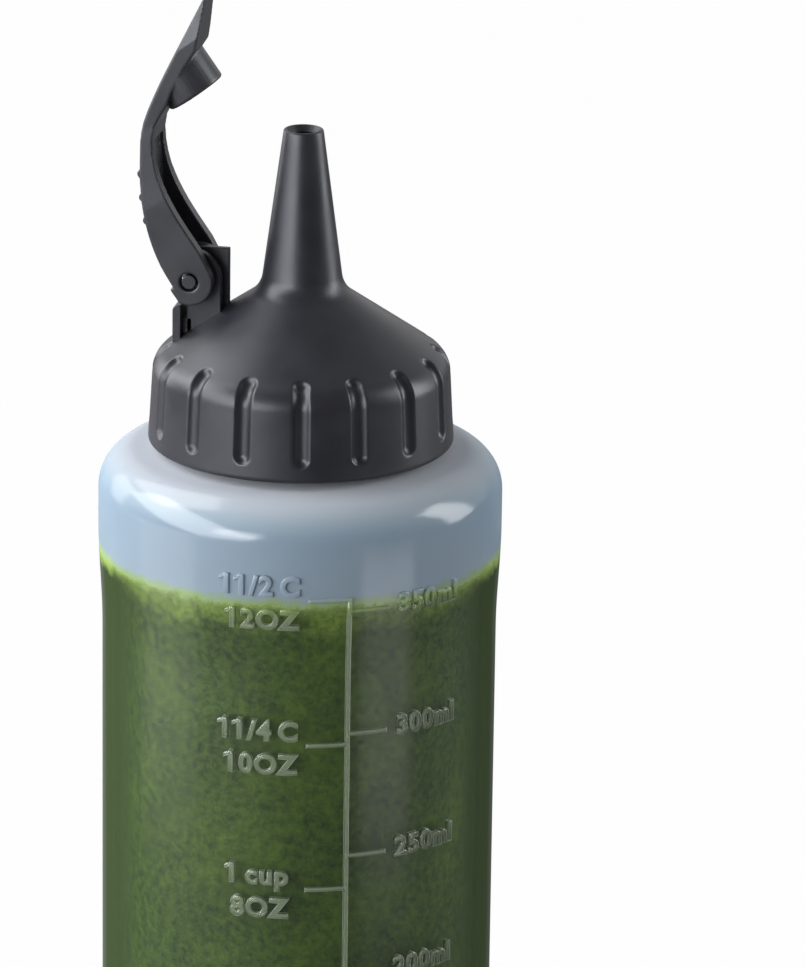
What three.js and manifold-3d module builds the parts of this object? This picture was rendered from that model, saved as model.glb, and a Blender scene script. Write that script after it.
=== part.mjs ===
// Dosing bottle: a translucent squeeze bottle of green sauce under a black screw cap.
// The cap carries a long nozzle and a hinged closing lever, shown swung open.
// Millimetres, +Z up. The origin is the centre of the base and the lever hinges on the -X side.

import * as THREE from 'three';
import { mergeVertices } from 'three/addons/utils/BufferGeometryUtils.js';
import Module from 'manifold-3d';

// Bottle

const bodyRadius = 29.7;
const shoulderRadius = 30.3;
const bottleWall = 1.3;
const bodyHeight = 126;
const waistHeight = 16;
const shoulderHeight = 11.1;
const shoulderRounding = 6.2;
const collarRise = 1.3;
const collarRounding = 1;
const neckRadius = 18.4;
const neckHeight = 10.7;
const baseRounding = 5;
const footWidth = 1.5;
const pushUpHeight = 2.2;
const pushUpRun = 3.2;

// Screw thread between neck and cap

const threadPitch = 4;
const threadDepth = 1.2;
const threadFoot = 2.2;
const threadCrest = 1;
const threadCollarGap = 1.8;
const threadLipGap = 0.7;
const threadClearance = 0.6;

// Measuring scale raised on the wall: millilitres on one side of a line and fluid ounces on the other

const scaleAzimuth = -64.6;
const scaleDrop = 15.5;
const scaleTopVolume = 350;
const scaleStepVolume = 50;
const scaleStepHeight = 19.19;
const scaleTail = 3;
const ounceVolume = 29.574;
const ounceStep = 2;
const ounceTop = 12;
const markHeight = 0.35;
const markWidth = 0.7;
const tickLength = 6.2;

// Sauce

const sauceDrop = 14.2;
const sauceClearance = 0.3;

// Sealing ring between the neck's lip and the cap

const sealThickness = 1.2;
const sealClearance = 0.3;
const sealWidth = 2.6;

// Screw cap and nozzle

const capClearance = 0.6;
const capSkirtWall = 2.7;
const capDraft = 0.72;
const capTopRise = 0.85;
const capWall = 2;
const capEdgeRounding = 4.3;
const capLipRounding = 0.5;
const ledgeWidth = 0.3;
const coneRise = 10.91;
const nozzleLength = 24.14;
const nozzleFootRadius = 6.18;
const nozzleFootRounding = 4.4;
const nozzleWall = 1.7;
const nozzleHoleRadius = 1.85;
const nozzleBevelWidth = 0.65;
const nozzleBevelDepth = 0.9;
const nozzleRimWidth = 0.45;
const nozzleRimRounding = 0.3;

// Finger grooves round the cap

const grooveCount = 16;
const grooveWidth = 2.5;
const grooveDepth = 0.75;
const grooveBottomOffset = 3.6;
const grooveConeReach = 1.98;

// Hinge bracket on the cap

const hingeOffset = 16.2;
const hingeRise = 7.67;
const pinRadius = 1.1;
const pinClearance = 0.3;
const pinInset = 0.1;
const earRadius = 4.4;
const earThickness = 1.3;
const earOuterEdge = 0.85;
const finThickness = 1;
const finLength = 4.6;
const finTop = 4.4;
const finOverhang = 0.8;
const postGap = 0.55;
const postThickness = 1.3;
const postWidth = 8;
const postRounding = 0.8;
const postClearance = 0.35;
const bridgeDrop = 2.2;
const bracketSink = 0.9;

// Closing lever, drawn shut and then turned open about its hinge

const openAngle = 35.5;
const leverWidth = 10;
const cheekThickness = 2.1;
const cheekClearance = 0.3;
const cheekFront = 4;
const cheekLean = 6.2;
const webThickness = 1.5;
const channelDrop = 2.9;
const channelCorner = 1.4;
const hubRadius = 3.6;
const hubFlat = 3.1;
const hubFlatDrop = 1.9;
const armBack = 2.5;
const armFoot = 0.6;
const armLean = 10.3;
const armThickness = 2;
const tabThickness = 2.6;
const tabLength = 10.9;
const tabWidth = 6.4;
const tabCorner = 1.2;
const cupClearance = 0.9;
const cupWall = 0.75;
const cupOverlap = 0.7;
const cupDepth = 2.4;
const cupBevel = 0.25;
const plugOversize = 0.15;
const plugDepth = 1;
const gripCount = 3;
const gripWidth = 1.3;
const gripHeight = 0.4;

const roundSegments = 48;

const radians = THREE.MathUtils.degToRad;
const wasm = await Module();
wasm.setup();

// Solids from three.js geometry and back

function solid(geometry) {
  const bare = geometry.clone();
  bare.deleteAttribute('normal');
  bare.deleteAttribute('uv');
  const merged = mergeVertices(bare, 1e-4);
  const mesh = new wasm.Mesh({
    numProp: 3,
    vertProperties: new Float32Array(merged.attributes.position.array),
    triVerts: new Uint32Array(merged.index.array),
  });
  return new wasm.Manifold(mesh);
}

function geometryOf(manifold) {
  const mesh = manifold.getMesh();
  const geometry = new THREE.BufferGeometry();
  geometry.setAttribute('position', new THREE.BufferAttribute(mesh.vertProperties, 3));
  geometry.setIndex(new THREE.BufferAttribute(mesh.triVerts, 1));
  geometry.computeVertexNormals();
  return geometry;
}

function join(parts) {
  return parts.reduce((whole, part) => whole.add(part));
}

// A closed [radius, height] outline turned about the Z axis

function turned(outline, segments = roundSegments) {
  const points = outline.map(([r, z]) => new THREE.Vector2(r, z));
  const area = THREE.ShapeUtils.area(points);
  if (area < 0) points.reverse();
  if (points[0].x > 0) points.push(points[0].clone());
  const geometry = new THREE.LatheGeometry(points, segments);
  geometry.rotateX(Math.PI / 2);
  return solid(geometry);
}

// An outline in the X-Z plane given thickness along Y, from one side to the other

function plate(shape, width, centre = 0) {
  const geometry = new THREE.ExtrudeGeometry(shape, { depth: width, bevelEnabled: false, curveSegments: 16 });
  geometry.rotateX(Math.PI / 2);
  geometry.translate(0, centre + width / 2, 0);
  return solid(geometry);
}

function rectangle(left, right, low, high) {
  return new THREE.Shape([
    new THREE.Vector2(right, low),
    new THREE.Vector2(right, high),
    new THREE.Vector2(left, high),
    new THREE.Vector2(left, low),
  ]);
}

function box(x0, x1, y0, y1, z0, z1) {
  const geometry = new THREE.BoxGeometry(x1 - x0, y1 - y0, z1 - z0);
  geometry.translate((x0 + x1) / 2, (y0 + y1) / 2, (z0 + z1) / 2);
  return solid(geometry);
}

// A round pin along Y

function crossPin(radius, width, x = 0, z = 0, segments = 32) {
  const geometry = new THREE.CylinderGeometry(radius, radius, width, segments);
  geometry.translate(x, 0, z);
  return solid(geometry);
}

// A solid through rings of points that all have the same count, closed at both ends

function lofted(rings) {
  const count = rings[0].length;
  const positions = rings.flat().flatMap((p) => [p.x, p.y, p.z]);
  const faces = [];
  for (let i = 0; i + 1 < rings.length; i += 1) {
    for (let j = 0; j < count; j += 1) {
      const a = i * count + j;
      const b = i * count + ((j + 1) % count);
      faces.push(a, b, a + count, b, b + count, a + count);
    }
  }
  const last = (rings.length - 1) * count;
  for (let j = 1; j + 1 < count; j += 1) {
    faces.push(0, j + 1, j, last, last + j, last + j + 1);
  }
  const geometry = new THREE.BufferGeometry();
  geometry.setAttribute('position', new THREE.Float32BufferAttribute(positions, 3));
  geometry.setIndex(faces);
  return solid(geometry);
}

// Profile helpers: points are [radius, height]

function rounded(before, corner, after, radius, steps = 6) {
  const c = new THREE.Vector2(...corner);
  const toBefore = new THREE.Vector2(...before).sub(c).normalize();
  const toAfter = new THREE.Vector2(...after).sub(c).normalize();
  const half = Math.acos(THREE.MathUtils.clamp(toBefore.dot(toAfter), -1, 1)) / 2;
  const reach = radius / Math.tan(half);
  const middle = toBefore.clone().add(toAfter).normalize().multiplyScalar(radius / Math.sin(half)).add(c);
  const start = toBefore.multiplyScalar(reach).add(c).sub(middle);
  const end = toAfter.multiplyScalar(reach).add(c).sub(middle);
  const sweep = Math.PI - 2 * half;
  const turn = Math.sign(start.cross(end));
  return Array.from({ length: steps + 1 }, (_, i) => {
    const point = start.clone().rotateAround(new THREE.Vector2(), (turn * sweep * i) / steps);
    return [point.x + middle.x, point.y + middle.y];
  });
}

function offset(profile, distance) {
  return profile.map((point, i) => {
    const before = profile[Math.max(i - 1, 0)];
    const after = profile[Math.min(i + 1, profile.length - 1)];
    const normals = [[before, point], [point, after]]
      .map(([a, b]) => new THREE.Vector2(b[1] - a[1], a[0] - b[0]))
      .filter((n) => n.length() > 1e-9)
      .map((n) => n.normalize());
    const normal = normals.reduce((sum, n) => sum.add(n), new THREE.Vector2()).normalize();
    const stretch = distance / Math.max(normal.dot(normals.at(-1)), 0.5);
    return [Math.max(point[0] + normal.x * stretch, 0), point[1] + normal.y * stretch];
  });
}

// Bottle outline, from the middle of the base up to the neck's lip

const waistTop = bodyHeight + waistHeight;
const shoulderTop = waistTop + shoulderHeight;
const collarTop = shoulderTop + collarRise;
const neckTop = collarTop + neckHeight;
const footInner = bodyRadius - baseRounding - footWidth;
const waistSteps = 4;
const waist = Array.from({ length: waistSteps + 1 }, (_, i) => {
  const blend = (1 - Math.cos((Math.PI * i) / waistSteps)) / 2;
  const radius = THREE.MathUtils.lerp(bodyRadius, shoulderRadius, blend);
  return [radius, bodyHeight + (waistHeight * i) / waistSteps];
});
const base = [bodyRadius, 0];
const shoulder = [shoulderRadius, shoulderTop];
const collar = [neckRadius, collarTop];
const neckLip = [neckRadius, neckTop];
const outerWall = [
  [0, pushUpHeight],
  [footInner - pushUpRun, pushUpHeight],
  [footInner, 0],
  ...rounded([footInner, 0], base, waist[0], baseRounding, 4),
  ...waist,
  ...rounded([shoulderRadius, waistTop], shoulder, collar, shoulderRounding, 6),
  ...rounded(shoulder, collar, neckLip, collarRounding, 2),
  neckLip,
];
const innerWall = offset(outerWall, -bottleWall);
innerWall[0][0] = 0;
innerWall[innerWall.length - 1][1] = neckTop;

// Screw threads: one helix on the neck and, half a pitch below it, one inside the cap

const threadSteps = 24;
const threadTurns = (neckHeight - threadCollarGap - threadLipGap - threadFoot) / threadPitch;
const threadStart = collarTop + threadCollarGap + threadFoot / 2;
const capBore = neckRadius + threadDepth + threadClearance;
const threadSink = 0.3;
function thread(wallRadius, depth, start, turns, phase) {
  const foot = wallRadius - Math.sign(depth) * threadSink;
  const steps = Math.round(threadSteps * turns);
  const rings = Array.from({ length: steps + 1 }, (_, i) => {
    const along = i / steps;
    const angle = phase + 2 * Math.PI * turns * along;
    const height = start + threadPitch * turns * along;
    const fade = Math.min(1, along * 8, (1 - along) * 8);
    const crest = wallRadius + depth * Math.max(fade, 0.15);
    const crestHalf = (threadCrest * Math.max(fade, 0.4)) / 2;
    const corners = [
      [foot, -threadFoot / 2],
      [crest, -crestHalf],
      [crest, crestHalf],
      [foot, threadFoot / 2],
    ];
    return corners.map(([r, z]) => new THREE.Vector3(r * Math.cos(angle), r * Math.sin(angle), height + z));
  });
  if (depth > 0) rings.forEach((ring) => ring.reverse());
  return lofted(rings);
}
const neckThread = thread(neckRadius, threadDepth, threadStart, threadTurns, 0);
const capThread = thread(capBore, -threadDepth, threadStart - threadPitch / 4, threadTurns - 0.25, Math.PI / 2);

// Scale marks: bars through the wall, trimmed to a thin shell that follows it

const markSink = 0.4;
const bodySide = [
  [bodyRadius, baseRounding + scaleTail],
  ...waist,
  [shoulderRadius, shoulderTop - shoulderRounding],
];
const markShell = turned([...offset(bodySide, markHeight), ...offset(bodySide, -markSink).reverse()]);
const scaleTop = shoulderTop - scaleDrop;
const heightOf = (volume) => scaleTop + ((volume - scaleTopVolume) * scaleStepHeight) / scaleStepVolume;
function bar(left, right, low, high) {
  return box(bodyRadius - bottleWall, shoulderRadius + bottleWall, left, right, low, high);
}
const millilitreTicks = [];
for (let volume = scaleStepVolume; volume <= scaleTopVolume; volume += scaleStepVolume) {
  const z = heightOf(volume);
  millilitreTicks.push(bar(0, tickLength, z - markWidth / 2, z + markWidth / 2));
}
const ounceTicks = [];
for (let ounces = ounceStep; ounces <= ounceTop; ounces += ounceStep) {
  const z = heightOf(ounces * ounceVolume);
  ounceTicks.push(bar(-tickLength, 0, z - markWidth / 2, z + markWidth / 2));
}
const lineLow = heightOf(scaleStepVolume) - scaleTail;
const lineHigh = heightOf(ounceTop * ounceVolume) + markWidth / 2;
const scaleMarks = join([bar(-markWidth / 2, markWidth / 2, lineLow, lineHigh), ...millilitreTicks, ...ounceTicks])
  .rotate([0, 0, scaleAzimuth])
  .intersect(markShell);

const bottleSolid = turned([...outerWall, ...innerWall.toReversed()]).add(scaleMarks).add(neckThread);

// Sauce filling the bottle up to its level

const sauceLevel = shoulderTop - sauceDrop;
const sauceSide = offset(innerWall, -sauceClearance).filter(([, z]) => z < sauceLevel - bottleWall);
const sauceSolid = turned([...sauceSide, [sauceSide.at(-1)[0], sauceLevel], [0, sauceLevel]]);

// Sealing ring

const ledgeInner = neckRadius - bottleWall - ledgeWidth;
const sealBottom = neckTop + sealClearance;
const sealTop = sealBottom + sealThickness;
const sealSolid = turned([
  [ledgeInner, sealBottom],
  [ledgeInner + sealWidth, sealBottom],
  [ledgeInner + sealWidth, sealTop],
  [ledgeInner, sealTop],
]);

// Screw cap: skirt, cone and nozzle turned as one piece

const ledgeHeight = sealTop + sealClearance;
const capBottom = collarTop + capClearance;
const capBottomRadius = capBore + capSkirtWall;
const capEdgeRadius = capBottomRadius - capDraft;
const capEdgeHeight = ledgeHeight + capTopRise;
const nozzleFootHeight = capEdgeHeight + coneRise;
const nozzleTip = nozzleFootHeight + nozzleLength;
const nozzleBevelRadius = nozzleHoleRadius + nozzleBevelWidth;
const nozzleTipRadius = nozzleBevelRadius + nozzleRimWidth;
const coneSlope = coneRise / (capEdgeRadius - nozzleFootRadius);
const coneHeight = (r) => nozzleFootHeight - (r - nozzleFootRadius) * coneSlope;
const coneUnderside = (r) => coneHeight(r) - capWall * Math.hypot(1, coneSlope);
const boreFoot = nozzleFootRadius - nozzleWall;
const lip = [capBottomRadius, capBottom];
const edge = [capEdgeRadius, capEdgeHeight];
const foot = [nozzleFootRadius, nozzleFootHeight];
const rim = [nozzleTipRadius, nozzleTip];
const capOutline = [
  ...rounded([capBore, capBottom], lip, edge, capLipRounding, 2),
  ...rounded(lip, edge, foot, capEdgeRounding, 5),
  ...rounded(edge, foot, rim, nozzleFootRounding, 5),
  ...rounded(foot, rim, [0, nozzleTip], nozzleRimRounding, 2),
  [nozzleBevelRadius, nozzleTip],
];
const capHollow = [
  [nozzleHoleRadius, nozzleTip - nozzleBevelDepth],
  [boreFoot, coneUnderside(boreFoot)],
  [ledgeInner, coneUnderside(ledgeInner)],
  [ledgeInner, ledgeHeight],
  [capBore, ledgeHeight],
  [capBore, capBottom],
];

// Finger grooves: round-ended channels that climb the skirt and bend onto the cone

const grooveBall = (grooveWidth ** 2 / 4 + grooveDepth ** 2) / (2 * grooveDepth);
const grooveTopRadius = capEdgeRadius - grooveConeReach;
const grooveTrack = [
  [capBottomRadius, capBottom + grooveBottomOffset],
  ...rounded(lip, edge, foot, capEdgeRounding, 3),
  [grooveTopRadius, coneHeight(grooveTopRadius)],
];
const groovePath = offset(grooveTrack, grooveBall - grooveDepth);
const grooveSides = 10;
function ringRound(point, along, radius) {
  const side = new THREE.Vector3(0, 1, 0);
  const out = new THREE.Vector3().crossVectors(along, side);
  return Array.from({ length: grooveSides }, (_, i) => {
    const angle = (2 * Math.PI * i) / grooveSides;
    return point.clone()
      .addScaledVector(side, radius * Math.cos(angle))
      .addScaledVector(out, radius * Math.sin(angle));
  });
}
function groove() {
  const points = groovePath.map(([r, z]) => new THREE.Vector3(r, 0, z));
  const first = points[1].clone().sub(points[0]).normalize();
  const final = points.at(-1).clone().sub(points.at(-2)).normalize();
  const domed = [0.92, 0.6];
  const rings = [];
  domed.forEach((t) => {
    rings.push(ringRound(points[0].clone().addScaledVector(first, -t * grooveBall), first,
      grooveBall * Math.sqrt(1 - t * t)));
  });
  points.forEach((point, i) => {
    const from = points[Math.max(i - 1, 0)];
    const to = points[Math.min(i + 1, points.length - 1)];
    rings.push(ringRound(point, to.clone().sub(from).normalize(), grooveBall));
  });
  domed.reverse().forEach((t) => {
    rings.push(ringRound(points.at(-1).clone().addScaledVector(final, t * grooveBall), final,
      grooveBall * Math.sqrt(1 - t * t)));
  });
  return lofted(rings);
}
const grooveSolid = groove();
const grooves = join(Array.from({ length: grooveCount }, (_, i) =>
  grooveSolid.rotate([0, 0, ((i + 0.5) * 360) / grooveCount])));

// Hinge bracket in the hinge's frame: two ears with stub pins, a thin fin between them and a stop post behind

const hingeHeight = coneHeight(hingeOffset) + hingeRise;
const bracketFoot = coneUnderside(hingeOffset) - bracketSink - hingeHeight;
const innerWidth = leverWidth - 2 * cheekThickness;
const earFace = innerWidth / 2 - cheekClearance;
const earShape = new THREE.Shape();
earShape.moveTo(earRadius, bracketFoot);
earShape.lineTo(earRadius, 0);
earShape.absarc(0, 0, earRadius, 0, Math.PI - Math.acos(earOuterEdge / earRadius));
earShape.lineTo(-earOuterEdge, bracketFoot);
const finEnd = earRadius + finOverhang;
const finShape = rectangle(finEnd - finLength, finEnd, bracketFoot, finTop);
const postInner = -earOuterEdge - postGap;
const postTop = -hubRadius - postClearance;
const postCorner = postInner - postThickness + postRounding;
const postShape = new THREE.Shape();
postShape.moveTo(postInner, bracketFoot);
postShape.lineTo(postInner, postTop);
postShape.absarc(postCorner, postTop - postRounding, postRounding, Math.PI / 2, Math.PI);
postShape.lineTo(postInner - postThickness, bracketFoot);
const bridgeShape = rectangle(postInner - postThickness / 2, 0, bracketFoot, postTop - bridgeDrop);
const fin = plate(finShape, finThickness);
const betweenEars = crossPin(pinRadius + 1, 2 * (earFace - earThickness)).subtract(fin);
const bracket = join([
  plate(earShape, earThickness, earFace - earThickness / 2),
  plate(earShape, earThickness, earThickness / 2 - earFace),
  crossPin(pinRadius, leverWidth - 2 * pinInset),
]).subtract(betweenEars).add(join([
  fin,
  plate(postShape, postWidth),
  plate(bridgeShape, 2 * earFace),
]));

const capBody = turned([...capOutline, [0, nozzleTip], [0, capBottom]]);
const capSpace = turned([
  [0, nozzleTip + 1],
  [nozzleBevelRadius, nozzleTip + 1],
  [nozzleBevelRadius, nozzleTip],
  ...capHollow,
  [capBore, capBottom - 1],
  [0, capBottom - 1],
]);
const capSolid = capBody
  .subtract(grooves)
  .add(bracket.translate([-hingeOffset, 0, hingeHeight]))
  .subtract(capSpace)
  .add(capThread);

// Closing lever: X runs from the hinge towards the nozzle, Z up, with the hinge at the origin.
// Its back is a parabola that leans over the nozzle, then a straight finger tab.

const tipHeight = nozzleTip - hingeHeight;
const cupMouth = tipHeight - cupOverlap;
const cupRadius = nozzleTipRadius + cupClearance + cupWall;
const cupInner = cupRadius - cupWall;
const armSteps = 6;
const armBackPoints = Array.from({ length: armSteps + 1 }, (_, i) => {
  const share = i / armSteps;
  return new THREE.Vector2(armLean * share ** 2 - armBack, THREE.MathUtils.lerp(armFoot, tipHeight, share));
});
const tabSlope = 0.55;
const tabHeight = (x) => tipHeight + 5.2 + tabSlope * x;
const tabPoint = (x) => new THREE.Vector2(hingeOffset + x, tabHeight(x));
const spine = new THREE.SplineCurve([
  ...armBackPoints,
  tabPoint(-0.7 * cupRadius),
  tabPoint(0.7 * cupRadius),
  tabPoint(tabLength),
]);
const spinePoints = spine.getPoints(28);

// The cheeks' front edge stays close to the hinge, then curves out to the cup's mouth

const cheekEdge = new THREE.SplineCurve([
  ...[0.13, 0.29, 0.45, 0.61, 0.77, 0.93].map((share) => (
    new THREE.Vector2(cheekFront + cheekLean * share ** 4, tipHeight * share))),
  new THREE.Vector2(hingeOffset - cupInner, cupMouth + 1),
]).getPoints(14);
const hubStart = Math.PI + Math.asin(hubFlatDrop / hubRadius);
const hubArc = Array.from({ length: 13 }, (_, i) => {
  const angle = THREE.MathUtils.lerp(hubStart, 2 * Math.PI, i / 12);
  return new THREE.Vector2(hubRadius * Math.cos(angle), hubRadius * Math.sin(angle));
});
const underTab = (x, thickness) => (
  new THREE.Vector2(hingeOffset + x, tabHeight(x) - thickness * Math.hypot(1, tabSlope)));
const sideOutline = new THREE.Shape([
  new THREE.Vector2(-hubFlat, armFoot),
  new THREE.Vector2(-hubFlat, -hubFlatDrop),
  ...hubArc,
  ...cheekEdge,
  underTab(0, armThickness),
  underTab(cupRadius + 0.4, tabThickness),
  new THREE.Vector2(hingeOffset + tabLength + 0.3, tabHeight(tabLength) + 0.2),
  ...spinePoints.toReversed(),
]);

// Seen from the nozzle, the arm narrows from the hinge to the cup's width and then to the finger tab

const frontEdge = [
  [leverWidth / 2, -hubRadius - 1],
  [leverWidth / 2, 0.55 * cupMouth],
  [cupRadius, cupMouth],
  [cupRadius, tabHeight(0.5 * cupRadius)],
  [tabWidth / 2, tabHeight(tabLength - tabCorner)],
  [tabWidth / 2 - tabCorner, tabHeight(tabLength) + 0.5],
];
const frontShape = new THREE.Shape([
  ...frontEdge.map(([y, z]) => new THREE.Vector2(y, z)),
  ...frontEdge.toReversed().map(([y, z]) => new THREE.Vector2(-y, z)),
]);
const frontReach = 2 * hingeOffset;
const frontGeometry = new THREE.ExtrudeGeometry(frontShape, { depth: 2 * frontReach, bevelEnabled: false });
frontGeometry.rotateX(Math.PI / 2);
frontGeometry.rotateZ(Math.PI / 2);
frontGeometry.translate(-frontReach, 0, 0);
const frontPrism = solid(frontGeometry);

// The channel between the cheeks, open towards the nozzle and all round the hinge

const channelTop = tipHeight - channelDrop;
const webInner = spinePoints
  .filter((p) => p.y < channelTop - channelCorner)
  .map((p, i, all) => {
    const next = all[Math.min(i + 1, all.length - 1)];
    const last = all[Math.max(i - 1, 0)];
    const along = next.clone().sub(last).normalize();
    return new THREE.Vector2(p.x + along.y * webThickness, p.y - along.x * webThickness);
  });
const channelShape = new THREE.Shape([
  ...webInner,
  new THREE.Vector2(webInner.at(-1).x + channelCorner, channelTop),
  new THREE.Vector2(hingeOffset, channelTop),
  new THREE.Vector2(hingeOffset, webInner[0].y),
]);
const hubSpace = crossPin(earRadius + cheekClearance, innerWidth, 0, 0, roundSegments);
const channel = plate(channelShape, innerWidth).add(hubSpace);

// The sealing cup hangs under the arm, with a domed plug that dips into the nozzle's mouth

const cupTurned = (outline) => turned(outline, 40).translate([hingeOffset, 0, 0]);
const cupTop = tabHeight(cupRadius);
const underSpine = new THREE.Shape([
  ...spinePoints,
  new THREE.Vector2(spinePoints.at(-1).x, 0),
  new THREE.Vector2(0, 0),
]);
const cupBlock = cupTurned([
  [0, cupMouth],
  [cupRadius - cupBevel, cupMouth],
  [cupRadius, cupMouth + cupBevel],
  [cupRadius, cupTop],
  [0, cupTop],
]).intersect(plate(underSpine, leverWidth));
const cupCeiling = cupMouth + cupDepth;
const cupSpace = cupTurned([
  [0, cupMouth - 3],
  [cupInner + cupBevel, cupMouth - 3],
  [cupInner + cupBevel, cupMouth],
  [cupInner, cupMouth + cupBevel],
  [cupInner, cupCeiling],
  [0, cupCeiling],
]);
const plugRadius = nozzleHoleRadius + plugOversize;
const plugCentre = tipHeight + plugRadius - plugDepth;
const plugDome = Array.from({ length: 7 }, (_, i) => {
  const angle = (Math.PI / 2) * (i / 6);
  return [plugRadius * Math.sin(angle), plugCentre - plugRadius * Math.cos(angle)];
});
const plugTop = cupCeiling + armThickness / 4;
const plug = cupTurned([...plugDome, [plugRadius, plugTop], [0, plugTop]]);

// Grip bars across the back of the arm

const gripStart = 0.225;
const gripStep = 0.075;
const grips = Array.from({ length: gripCount }, (_, i) => {
  const spot = spine.getPointAt(gripStart + gripStep * i);
  return crossPin(gripWidth / 2, 2 * cupRadius, spot.x + gripWidth / 2 - gripHeight, spot.y, 16);
});

const leverSolid = plate(sideOutline, leverWidth)
  .add(cupBlock)
  .add(join(grips))
  .intersect(frontPrism)
  .subtract(channel)
  .subtract(crossPin(pinRadius + pinClearance, leverWidth + 2))
  .subtract(cupSpace)
  .add(plug);

// Materials

const bottlePlastic = new THREE.MeshStandardMaterial({
  color: 0xc9d3da,
  roughness: 0.3,
  metalness: 0,
  transparent: true,
  opacity: 0.4,
});
const blackPlastic = new THREE.MeshStandardMaterial({ color: 0x26272a, roughness: 0.5, metalness: 0 });
const leverPlastic = new THREE.MeshStandardMaterial({ color: 0x2a2b2e, roughness: 0.5, metalness: 0 });
const sauceColour = new THREE.MeshStandardMaterial({ color: 0x3f6d14, roughness: 0.45, metalness: 0 });
const sealRubber = new THREE.MeshStandardMaterial({ color: 0xb9bcbd, roughness: 0.7, metalness: 0 });

// Assembly

function piece(name, body, material) {
  const mesh = new THREE.Mesh(geometryOf(body), material);
  mesh.name = name;
  return mesh;
}

const dosingBottle = new THREE.Group();
dosingBottle.name = 'dosing_bottle';
dosingBottle.add(piece('bottle', bottleSolid, bottlePlastic));
dosingBottle.add(piece('sauce', sauceSolid, sauceColour));
dosingBottle.add(piece('sealing_ring', sealSolid, sealRubber));
dosingBottle.add(piece('screw_cap', capSolid, blackPlastic));

const lever = piece('closing_lever', leverSolid, leverPlastic);
lever.position.set(-hingeOffset, 0, hingeHeight);
lever.rotation.y = -radians(openAngle);
dosingBottle.add(lever);

export default dosingBottle;
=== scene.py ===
"""Looks of the dosing bottle: a translucent squeeze bottle of green sauce under a black screw cap."""

import math

import bmesh
import bpy
from mathutils import Matrix, Vector


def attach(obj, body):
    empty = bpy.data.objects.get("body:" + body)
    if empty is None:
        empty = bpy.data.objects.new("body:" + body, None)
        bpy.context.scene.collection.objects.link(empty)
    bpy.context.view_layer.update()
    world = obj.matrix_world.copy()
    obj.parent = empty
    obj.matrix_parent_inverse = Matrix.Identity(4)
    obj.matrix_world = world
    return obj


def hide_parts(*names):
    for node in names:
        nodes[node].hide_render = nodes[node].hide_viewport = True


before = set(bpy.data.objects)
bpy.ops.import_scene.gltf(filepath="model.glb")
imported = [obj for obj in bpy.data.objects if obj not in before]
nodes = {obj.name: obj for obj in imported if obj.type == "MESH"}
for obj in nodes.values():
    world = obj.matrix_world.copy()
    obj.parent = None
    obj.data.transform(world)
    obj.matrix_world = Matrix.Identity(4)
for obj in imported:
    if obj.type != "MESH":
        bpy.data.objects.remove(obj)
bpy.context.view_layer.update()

MM = 0.001

# Sizes shared with the solids, in millimetres

BODY_RADIUS = 29.7
SHOULDER_RADIUS = 30.3
WALL = 1.3
BASE_ROUNDING = 5
FOOT_INNER = BODY_RADIUS - BASE_ROUNDING - 1.5
PUSH_UP_HEIGHT = 2.2
PUSH_UP_RADIUS = 20
WAIST_BOTTOM = 126
WAIST_TOP = 142
SHOULDER_TOP = 153.1
SHOULDER_ROUNDING = 6.2
COLLAR_TOP = 154.4
NECK_RADIUS = 18.4
NECK_TOP = 165.1

THREAD_PITCH = 4
THREAD_DEPTH = 1.2
THREAD_FOOT = 2.2
THREAD_CREST = 1
THREAD_ROOT = 0.3
THREAD_TURNS = 1.5
THREAD_STEPS = 72
THREAD_START = 157.3

SCALE_AZIMUTH = math.radians(-64.6)
SCALE_TOP = 137.6
STEP_HEIGHT = 19.19
OUNCE = 29.574
MARK_HEIGHT = 0.33
MARK_WIDTH = 0.7
MARK_EDGE = 0.16
MARK_SIDE = 0.1
MARK_ROOT = 0.35
TICK_LENGTH = 6.2
LINE_BELOW_50 = 3

WORD_SIZE = 4.1
WORD_EXTRUDE = 0.3
WORD_BEVEL = 0.14
WORD_SINK = 0.42
FIGURE_GAP = 0.05
MILLILITRES_ACROSS = 7.7
MILLILITRES_RISE = -0.9
CUPS_ACROSS = -13.4
CUPS_RISE = 0.8
OUNCES_ACROSS = -13
OUNCES_RISE = -4.4

# The flag of a figure 1, from the top left of its stroke, and the depth and size of each layer

FLAG = ((0.5, 0), (0.1, 0), (-0.25, -0.38), (-0.8, -0.6), (-0.8, -1.1), (-0.2, -0.9), (0.5, -0.5))
FLAG_MIDDLE = (-0.15, -0.5)
FLAG_LAYERS = ((-0.44, 1), (0.32, 1), (0.44, 0.75))

# Sauce, whose edge clings to the wall: the edge is in from the wall and up from the level,
# and the side's top and the middle are up from the level

SAUCE_LEVEL = 138.9
SAUCE_GAP = 0.3
SAUCE_EDGE = ((0, 1.2), (0.5, 0.9), (1.6, -0.2))
SAUCE_SIDE_TOP = -0.4
SAUCE_MIDDLE = -0.3

# Screw cap

CAP_BOTTOM = 155
CAP_BOTTOM_RADIUS = 22.9
CAP_LIP_ROUNDING = 0.6
CAP_EDGE = (22.18, 167.75)
CAP_EDGE_ROUNDING = 4.3
CAP_BORE = 20.2
CAP_WALL = 2
CAP_LEDGE = 166.9
LEDGE_INNER = 16.8
CAP_THREAD_START = THREAD_START - THREAD_PITCH / 2 + 1
CAP_THREAD_TURNS = THREAD_TURNS - 0.25
CAP_THREAD_PHASE = math.pi / 2
NOZZLE_FOOT = (6.18, 178.66)
NOZZLE_FOOT_ROUNDING = 4.4
NOZZLE_TIP = 202.8
NOZZLE_TIP_RADIUS = 2.95
NOZZLE_TIP_ROUNDING = 0.35
NOZZLE_WALL = 1.7
BEVEL_RADIUS = 2.5
BEVEL_DEPTH = 0.9
BEVEL_EDGE = 0.1
HOLE_RADIUS = 1.85

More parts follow.
